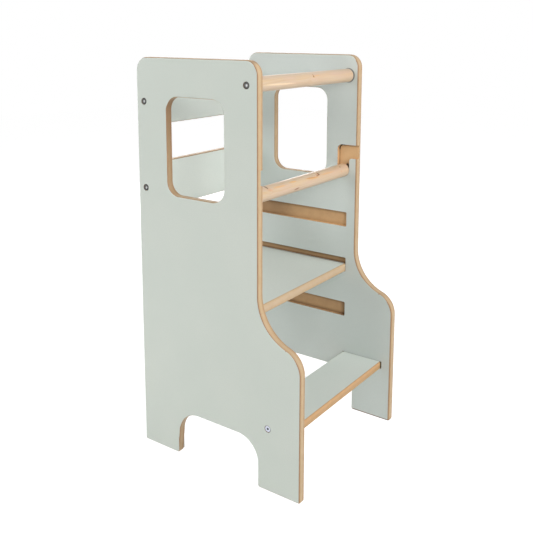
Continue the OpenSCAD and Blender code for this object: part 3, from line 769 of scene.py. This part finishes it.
def pine_group():
    """Growth rings of pine round a pith line that lies beside the dowel. The ring number is the distance
    from the pith times the rings per metre, pushed sideways by slow noise and by knots."""
    sheet, given = group_of("pine grain", {"Place": VECTOR, "Push": FLOAT, "Pith": VECTOR},
                            {"Latewood": FLOAT, "Streak": FLOAT, "Height": FLOAT})
    from_pith = sheet.add("ShaderNodeVectorMath", {0: given["Place"], 1: given["Pith"]}, operation="SUBTRACT")
    distance = sheet.length(sheet.stretch(from_pith.outputs[0], (0, 1, 1)))
    wander = sheet.noise(given["Place"], scale=(3.2, 26, 26), detail=3, roughness=0.55)
    ring = sheet.plus(sheet.times(distance, RINGS_PER_METRE), sheet.span(wander, *RING_WANDER, smooth=False),
                      given["Push"])
    phase = sheet.math("FRACT", ring)
    late = sheet.times(sheet.span(phase, *RING_DARKENS), sheet.span(phase, *RING_ENDS))
    streak = sheet.noise(given["Place"], scale=(14, 700, 700), detail=4, roughness=0.6)
    sheet.give(late, streak, sheet.plus(streak, sheet.times(late, 0.4)))
    return sheet.tree


def mark_group():
    """Oval mark on a dowel's unrolled surface, where x runs along the dowel and y is the length round it.
    Spot is 1 in its middle, Loop is 1 on its rim, and Push fades from 1 to 0 round it, to bend the growth
    rings."""
    ovals = dict.fromkeys(("Surface", "Middle", "Turn", "Half sizes"), VECTOR)
    sheet, given = group_of("mark in the wood", ovals, dict.fromkeys(("Spot", "Loop", "Push"), FLOAT))
    oval = sheet.add("ShaderNodeMapping", {"Vector": given["Surface"], "Location": given["Middle"],
                                           "Rotation": given["Turn"], "Scale": given["Half sizes"]},
                     vector_type="TEXTURE")
    rough = sheet.noise(given["Surface"], scale=420, detail=3, roughness=0.6)
    distance = sheet.plus(sheet.length(oval.outputs[0]), sheet.span(rough, *MARK_ROUGH, smooth=False))
    rim = sheet.absolute(sheet.math("SUBTRACT", distance, MARK_RIM))
    sheet.give(sheet.span(distance, *MARK_SPOT), sheet.span(rim, *MARK_LOOP),
               sheet.span(distance, *MARK_PUSH))
    return sheet.tree


def pine_material(name, grain, mark, axis, half_l, pith, marks):
    """Clear-lacquered pine dowel, with a painted highlight on its chamfers. axis is its place in the side
    profile, and pith the growth rings' centre as seen from there. Each mark is (place along and round the
    dowel, half sizes, turn in degrees, output, colour, strength, push of the rings). Lengths are in
    millimetres."""
    material, sheet, place, _ = new_material(name)
    centred = sheet.stretch(place, (1, 1, 1), (0, (HALF_DEPTH - axis[0]) * MM, -axis[1] * MM))
    parts = sheet.split(centred)
    angle = sheet.math("ARCTAN2", parts["Z"], sheet.times(parts["Y"], -1))
    arc_length = sheet.times(angle, DOWEL_R * MM)
    surface = sheet.add("ShaderNodeCombineXYZ", {0: parts["X"], 1: arc_length}).outputs[0]
    pushes, spots = [], []
    for (along, around), (half_along, half_around), turn, output, paint, strength, push in marks:
        made = sheet.use(mark, {"Surface": surface, "Middle": (along * MM, around * MM, 0),
                                "Turn": (0, 0, radians(turn)),
                                "Half sizes": (half_along * MM, half_around * MM, 1)})
        spots.append((sheet.times(made[output], strength), paint))
        if push:
            pushes.append(sheet.times(made["Push"], push))
    wood = sheet.use(grain, {"Place": centred, "Push": sheet.plus(*pushes), "Pith": [v * MM for v in pith]})
    colour = sheet.mix(sheet.times(wood["Latewood"], LATEWOOD), PINE_EARLY, PINE_LATE)
    blush = sheet.noise(centred, scale=(9, 60, 60), detail=2)
    gold = sheet.noise(centred, scale=(12, 110, 110), detail=2, location=(0.7, 0.2, 0))
    for pattern, reach, paint in ((wood["Streak"], STREAKS, PINE_STREAK), (blush, BLUSHES, PINE_BLUSH),
                                  (gold, GOLDS, PINE_GOLD)):
        colour = sheet.mix(sheet.span(pattern, *reach), colour, paint)
    for amount, paint in spots:
        colour = sheet.mix(amount, colour, paint)
    # A painted highlight on the chamfers
    chamfer = (half_l - DOWEL_CHAMFER) * MM
    end = sheet.span(sheet.absolute(parts["X"]), chamfer - END_BLUR, chamfer + END_BLUR, 0, END_HIGHLIGHT)
    finish_surface(sheet, sheet.mix(end, colour, PINE_END_HIGHLIGHT), sheet.span(wood["Streak"], *PINE_ROUGHNESS),
                   sheet.math("SUBTRACT", wood["Height"], spots[0][0]), PINE_RELIEF,
                   {"Coat Weight": 0.5, "Coat Roughness": 0.35})
    return material


def screw_material(name, axis, ring, face, middle):
    """Zinc-plated screw head. Its colour follows the distance from the screw's axis: middle in the socket,
    face on the flat of the head, and ring towards its rim; these are painted reflections and shade rather
    than the zinc's own tone. Fine turning marks run round the axis."""
    material, sheet, place, _ = new_material(name)
    radius = sheet.distance(place, axis)
    marks = sheet.math("SINE", sheet.times(radius, TURNING_MARKS))
    cloud = sheet.noise(place, scale=500, detail=3, roughness=0.6)
    colour = sheet.mix(sheet.span(radius, *SOCKET_REACH), middle, face)
    colour = sheet.mix(sheet.span(radius, *RIM_REACH), colour, ring)
    finish_surface(sheet, colour, sheet.span(cloud, *ZINC_ROUGHNESS), sheet.plus(marks, cloud), ZINC_RELIEF,
                   {"Metallic": 0.85})
    return material


# The stool
def dress(piece, body, slot, *nodes):
    """A piece rides on a body and stands for its CAD nodes, which are hidden. slot, the name of a material
    slot, is not used.
    """
    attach(piece, body)
    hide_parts(*nodes)


groups = {"fibre": fibre_group(), "sage": sage_group(), "rim": rim_group()}
panel_edge = edge_material("panel edge", groups, "X", PANEL_INNER_X, PANEL_OUTER_X, TAN, TAN_DARK, line=1)
slat_edge = edge_material("slat edge", groups, "Y", SLAT_FRONT_U - HALF_DEPTH, SLAT_BACK_U - HALF_DEPTH,
                          TAN, TAN_DARK, line=0.9)
step_edge = edge_material("step edge", groups, "Z", STEP_Z - BOARD_T, STEP_Z, STEP_TAN, STEP_TAN_DARK,
                          line=0.05, lightest=0.85, dark_from=STEP_CUT_X)
platform_edge = edge_material("platform edge", groups, "Z", PLATFORM_TOP_Z - PLATFORM_T, PLATFORM_TOP_Z,
                              PLATFORM_TAN, PLATFORM_TAN_DARK, line=0.05, lightest=0.6)
milled = milled_material(groups)
for side in ("left", "right"):
    dress(panel_board(side, panel_edge, milled), "frame", "board_core", side + "_panel_core")

for name, z in (("upper_slat", UPPER_SLAT_Z), ("lower_slat", LOWER_SLAT_Z)):
    slat = cross_board(name + "_board", (SLAT_FRONT_U, SLAT_BACK_U), (z, z + SLAT_W), "u", slat_edge)
    dress(slat, "frame", "board_core", name + "_core")
step = cross_board("step_board", (STEP_Z - BOARD_T, STEP_Z), (STEP_FRONT_U, STEP_BACK_U), "v", step_edge,
                   STEP_CUT_X)
dress(step, "frame", "board_core", "step_core")
dress(platform_board("platform_board", platform_edge), "platform", "board_core", "platform_core")

sage = {axis: laminate_material("sage laminate " + axis, groups, axis) for axis in "XYZ"}
for name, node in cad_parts.items():
    if name.endswith("_laminate"):
        axis = "X" if "_panel_" in name else "Y" if "_slat_" in name else "Z"
        node.data.materials.clear()
        node.data.materials.append(sage[axis])

RAIL_PITH, BAR_PITH = (0, 34, 12), (0, 26, -30)
# Marks: place along and round, half sizes, turn, output, colour, strength, push
RAIL_MARKS = (
    ((13.9, 6.8), (5.5, 3.4), 0, "Spot", ORANGE, 0.7, 2.4),
    ((28, 8.5), (15, 1.5), 3, "Spot", ORANGE, 0.5, 0),
    ((-115, -2.5), (62, 2.6), -1, "Spot", PALE, 0.6, 0),
    ((14, 10.8), (1.7, 4.2), 0, "Spot", BROWN, 0.75, 0),
    ((13.9, 6.6), (2.8, 2.2), 0, "Spot", KNOT, 0.95, 0))
BAR_MARKS = (
    ((29, 8.6), (30, 2.6), -5, "Spot", ORANGE, 0.95, 0),
    ((98, 9.2), (34, 2.4), -1, "Spot", ORANGE, 0.55, 0),
    ((55.5, 22.8), (6.2, 9.2), 0, "Spot", PALE, 0.6, 2.6),
    ((55.5, 22.8), (6.2, 9.2), 0, "Loop", BROWN, 0.85, 0),
    ((26, 9.4), (24, 1.6), -5, "Spot", BROWN, 0.6, 0),
    ((54, 10.3), (8, 2), 6, "Spot", BROWN, 0.95, 0),
    ((60.9, 13.6), (3.4, 4.2), 0, "Spot", BROWN, 1, 0),
    ((61.2, 12.6), (3.6, 3), 0, "Spot", KNOT, 0.95, 0),
    ((161.7, 15.5), (2.8, 2.3), 0, "Spot", KNOT, 0.8, 1.2),
    ((159.7, 3.6), (1.7, 3.6), 0, "Spot", RED, 0.6, 0.7),
    ((-98.5, 11), (28, 2.6), -3, "Spot", ORANGE, 0.6, 0),
    ((-46.5, 13), (16, 2.2), -3, "Spot", ORANGE, 0.95, 0),
    ((-36.4, -5.6), (11.5, 2.6), 5, "Spot", BARK, 0.9, 0.6),
    ((-135, 9.8), (10, 3.4), -20, "Spot", RED, 0.4, 0),
    ((-140.4, 20.4), (3.3, 8.6), 8, "Spot", KNOT, 1, 1))
grain, mark = pine_group(), mark_group()
rail_pine = pine_material("rail pine", grain, mark, RAIL_AXIS, RAIL_HALF_L, RAIL_PITH, RAIL_MARKS)
bar_pine = pine_material("bar pine", grain, mark, BAR_AXIS, BAR_HALF_L, BAR_PITH, BAR_MARKS)
rail = turned("top_rail_dowel", dowel_stations(RAIL_HALF_L), RAIL_AXIS, 1, rail_pine)
dress(rail, "frame", "pine", "top_rail")
bar = turned("safety_bar_dowel", dowel_stations(BAR_HALF_L), BAR_AXIS, 1, bar_pine)
dress(bar, "safety_bar", "pine", "safety_bar")

for name, place in SCREWS.items():
    # Each screw head's colours are painted reflections and shade
    zinc = screw_material(name + " screw zinc", place, *(ZINC_PAINTED_BRIGHT_FACE if name == "step" else ZINC_PAINTED_DARK_FACE))
    for side, sign in (("left", -1), ("right", 1)):
        screw = turned(f"{side}_{name}_bolt", screw_stations(), place, sign, zinc)
        dress(screw, "frame", "zinc_steel", f"{side}_{name}_screw")


# Floor and light
def white_for_the_camera(sheet):
    """1 on what the camera sees, directly or in metal and glass, and 0 on light that only bounces about."""
    path = sheet.add("ShaderNodeLightPath").outputs
    seen = sheet.plus(path["Is Camera Ray"], path["Is Glossy Ray"])
    return sheet.math("ADD", seen, path["Is Transmission Ray"], clamp=True)


FLOOR_HALF, FLOOR_GLOW, DOME = 6.0, 0.96, 0.12
floor_mesh = bpy.data.meshes.new("floor")
floor_mesh.from_pydata([(x * FLOOR_HALF, y * FLOOR_HALF, 0) for x, y in ((-1, -1), (1, -1), (1, 1), (-1, 1))],
                       [], [(0, 1, 2, 3)])
floor = new_object("floor", floor_mesh)
material, sheet, _, _ = new_material("pale floor")
plain = sheet.add("ShaderNodeBsdfDiffuse", {"Color": FLOOR_FOR_LIGHT})
shown = sheet.add("ShaderNodeBsdfDiffuse", {"Color": FLOOR_FOR_CAMERA})
glow = sheet.add("ShaderNodeEmission", {"Color": WHITE, "Strength": FLOOR_GLOW})
both = sheet.add("ShaderNodeAddShader", {0: shown.outputs[0], 1: glow.outputs[0]})
choice = sheet.add("ShaderNodeMixShader", {0: white_for_the_camera(sheet), 1: plain.outputs[0],
                                           2: both.outputs[0]})
sheet.add("ShaderNodeOutputMaterial", {0: choice.outputs[0]})
floor_mesh.materials.append(material)

world = bpy.data.worlds.new("studio")
bpy.context.scene.world = world
sheet = empty_sheet(world)
strength = sheet.blend(white_for_the_camera(sheet), DOME, 1)
background = sheet.add("ShaderNodeBackground", {"Color": WHITE, "Strength": strength})
sheet.add("ShaderNodeOutputWorld", {0: background.outputs[0]})


def soft_light(name, place, size, power, aim=(0, 0, 0.5)):
    """Square lamp at a place, turned towards the aim, in metres and watts."""
    lamp = bpy.data.lights.new(name, "AREA")
    lamp.shape, lamp.size, lamp.energy = "SQUARE", size, power
    lamp.use_shadow = True
    holder = new_object(name, lamp)
    holder.location = place
    holder.rotation_euler = (Vector(aim) - Vector(place)).to_track_quat("-Z", "Y").to_euler()
    holder.visible_camera = False


LAMPS = (
    ("key through the window", (-2.723, 0.730, 1.526), 0.9, 17),
    ("left fill", (-2.559, -1.477, 1.021), 0.9, 1.4),
    ("front left fill", (-1.359, -2.355, 1.768), 1, 29),
    ("front fill", (0, -2.719, 1.768), 1, 41),
    ("front overhead", (0, -1.928, 2.598), 1.6, 10),
    ("left overhead", (-1.363, -1.363, 2.598), 1.6, 11),
    ("low light behind", (0, 2.998, 0.605), 1, 15),
    ("left back fill", (-0.753, 2.812, 1.226), 1, 9),
    ("right back fill", (2.075, 2.075, 0.924), 1.6, 29),
    ("floor by the left panel", (-0.75, 1, 1.3), 0.5, 3.1, (-0.5, 0.3, 0)),
    ("low light by the back foot", (-0.8, 0.55, 0.17), 0.3, 0.44, (-0.2, 0.1, 0.2)))
for lamp in LAMPS:
    soft_light(*lamp)
